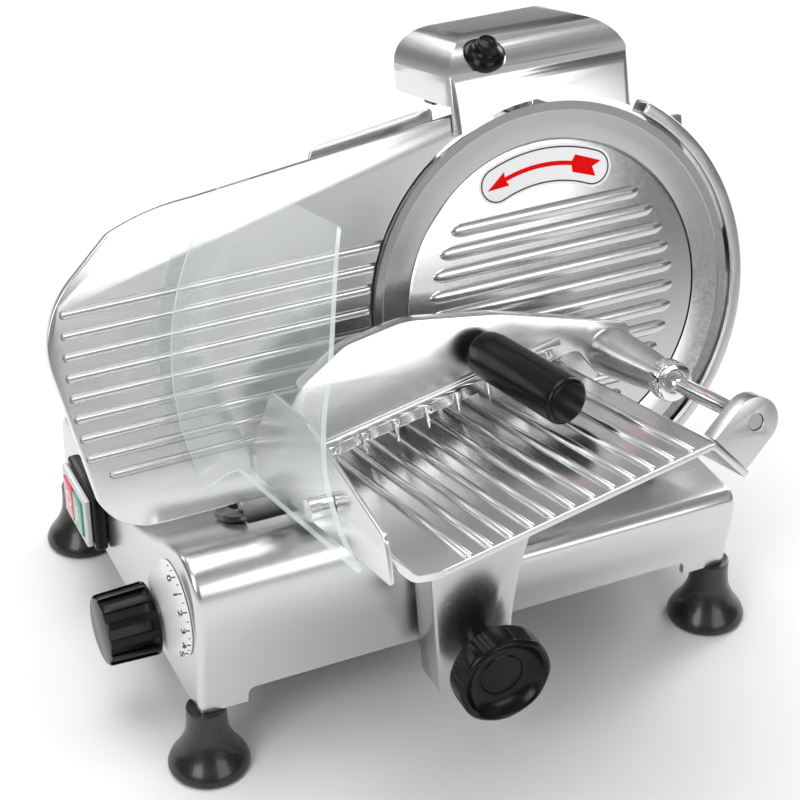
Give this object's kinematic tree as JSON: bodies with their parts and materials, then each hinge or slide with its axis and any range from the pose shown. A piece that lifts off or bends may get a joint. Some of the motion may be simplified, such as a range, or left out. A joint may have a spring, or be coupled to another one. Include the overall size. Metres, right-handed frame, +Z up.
{
  "type": "deli meat slicer",
  "caption": "Inclined-blade gravity meat slicer with a sliding ribbed food tray, clear finger guard, meat pusher, adjustable gauge plate and blade sharpener.",
  "frame": {"origin": "centre of the bounding box in plan, on the surface the feet stand on", "axes": "+X along the carriage travel to the side of the blade, +Y to the rear, +Z up; the operator stands at -Y"},
  "size_m": [0.464, 0.4374, 0.4022],
  "materials": {
    "cast_aluminium": "satin, cast and polished",
    "plate_aluminium": "satin anodised",
    "steel": "ground",
    "chrome": "polished",
    "black_plastic": "glossy",
    "rubber": "satin",
    "clear_plastic": "clear, polished edges",
    "white_plastic": "matt with printed dial",
    "red_plastic": "glossy",
    "green_plastic": "glossy",
    "abrasive": "rough abrasive",
    "nylon": "matt",
    "dark_steel": "dark paint"
  },
  "bodies": {
    "base": {"base_housing": "cast_aluminium", "foot_front_left": "rubber", "foot_rear_left": "rubber", "foot_front_right": "rubber", "foot_rear_right": "rubber", "bottom_plate": "dark_steel", "carriage_slide_rod": "chrome", "slot_seal": "rubber", "cord_gland": "black_plastic", "switch_box": "black_plastic", "switch_bezel": "plate_aluminium", "dial_plate": "white_plastic", "gauge_guide_frame": "dark_steel", "bearing_front": "chrome", "bearing_rear": "chrome", "blade_cover": "plate_aluminium", "head_casting": "cast_aluminium", "guard_ring": "cast_aluminium", "drive_housing": "cast_aluminium", "slice_deflector": "plate_aluminium", "motor": "dark_steel", "post_socket": "cast_aluminium", "drive_belt": "rubber"},
    "blade": {"blade": "steel", "blade_hub": "steel", "driven_pulley": "cast_aluminium"},
    "rotor": {"motor_pulley": "steel"},
    "gauge": {"gauge_plate": "plate_aluminium", "gauge_arm": "cast_aluminium"},
    "index": {"index_knob": "black_plastic", "index_shaft": "steel"},
    "carriage": {"carriage_slide": "cast_aluminium", "support_arm": "cast_aluminium", "food_tray": "plate_aluminium", "side_fence": "plate_aluminium", "finger_guard": "clear_plastic", "guard_boss": "chrome", "rod_bracket_front": "cast_aluminium", "rod_bracket_rear": "cast_aluminium", "pusher_rod": "chrome"},
    "lock": {"lock_knob": "black_plastic", "lock_stud": "chrome"},
    "pusher_carrier": {"pusher_bush": "nylon"},
    "pusher": {"pusher_sleeve": "cast_aluminium", "sleeve_ring": "chrome", "pusher_plate": "plate_aluminium", "pusher_spikes": "chrome", "pusher_handle": "black_plastic"},
    "sharpener": {"sharpener_hood": "plate_aluminium", "sharpener_frame": "black_plastic", "sharpener_post": "chrome"},
    "hood_knob": {"hood_knob": "black_plastic"},
    "grinder": {"grinding_button": "black_plastic"},
    "truer": {"truing_button": "black_plastic"},
    "grinding_wheel": {"grinding_stone": "abrasive"},
    "truing_wheel": {"truing_stone": "abrasive"},
    "release": {"cover_knob": "black_plastic", "cover_tie_rod": "chrome"},
    "stop": {"button_stop": "red_plastic"},
    "start": {"button_start": "green_plastic"}
  },
  "joints": [
    {"name": "blade_spin", "type": "hinge", "parent": "base", "child": "blade", "pos_m": [0.096, 0.00273, 0.236], "axis": [0, 0.9632, -0.2689], "continuous": true},
    {"name": "motor_spin", "type": "hinge", "parent": "base", "child": "rotor", "pos_m": [0.136, -0.02201, 0.14739], "axis": [0, 0.9632, -0.2689], "continuous": true},
    {"name": "index_turn", "type": "hinge", "parent": "base", "child": "index", "pos_m": [-0.182, 0.00173, 0.071], "axis": [1, 0, 0], "range_deg": [0, 270]},
    {"name": "gauge_slide", "type": "slide", "parent": "base", "child": "gauge", "axis": [0, 0.9632, -0.2689], "range_m": [0, 0.014]},
    {"name": "carriage_travel", "type": "slide", "parent": "base", "child": "carriage", "axis": [1, 0, 0], "range_m": [-0.115, 0.145]},
    {"name": "lock_knob_turn", "type": "hinge", "parent": "carriage", "child": "lock", "pos_m": [-0.01, -0.13627, 0.072], "axis": [0, 1, 0], "continuous": true},
    {"name": "pusher_slide", "type": "slide", "parent": "carriage", "child": "pusher_carrier", "axis": [0, -0.9632, 0.2689], "range_m": [0, 0.072]},
    {"name": "pusher_swing", "type": "hinge", "parent": "pusher_carrier", "child": "pusher", "pos_m": [0.1114, -0.00534, 0.20711], "axis": [0, 0.9632, -0.2689], "range_deg": [0, 110]},
    {"name": "sharpener_lift", "type": "slide", "parent": "base", "child": "sharpener", "axis": [0, 0.2689, 0.9632], "range_m": [0, 0.03]},
    {"name": "hood_knob_turn", "type": "hinge", "parent": "sharpener", "child": "hood_knob", "pos_m": [0.0645, 0.04939, 0.38972], "axis": [0, -0.3811, 0.9245], "continuous": true},
    {"name": "grinding_press", "type": "slide", "parent": "sharpener", "child": "grinder", "axis": [0, -0.9632, 0.2689], "range_m": [0, 0.004], "stiffness_N_per_m": 400, "springref_m": -0.001},
    {"name": "grinding_spin", "type": "hinge", "parent": "grinder", "child": "grinding_wheel", "pos_m": [0.072, 0.04361, 0.3824], "axis": [0, 0.9632, -0.2689], "continuous": true},
    {"name": "truing_press", "type": "slide", "parent": "sharpener", "child": "truer", "axis": [0, -0.9632, 0.2689], "range_m": [0, 0.004], "stiffness_N_per_m": 400, "springref_m": -0.001},
    {"name": "truing_spin", "type": "hinge", "parent": "truer", "child": "truing_wheel", "pos_m": [0.134, 0.04361, 0.3824], "axis": [0, 0.9632, -0.2689], "continuous": true},
    {"name": "cover_release", "type": "hinge", "parent": "base", "child": "release", "pos_m": [0.096, 0.00273, 0.236], "axis": [0, 0.9632, -0.2689], "continuous": true},
    {"name": "stop_press", "type": "slide", "parent": "base", "child": "stop", "axis": [1, 0, 0], "range_m": [0, 0.0025], "stiffness_N_per_m": 600, "springref_m": -0.001},
    {"name": "start_press", "type": "slide", "parent": "base", "child": "start", "axis": [1, 0, 0], "range_m": [0, 0.0025], "stiffness_N_per_m": 600, "springref_m": -0.001}
  ],
  "couplings": [
    {"joint": "motor_spin", "follows": "blade_spin", "ratio": 4},
    {"joint": "index_turn", "follows": "gauge_slide", "rad_per_m": 336.6}
  ]
}
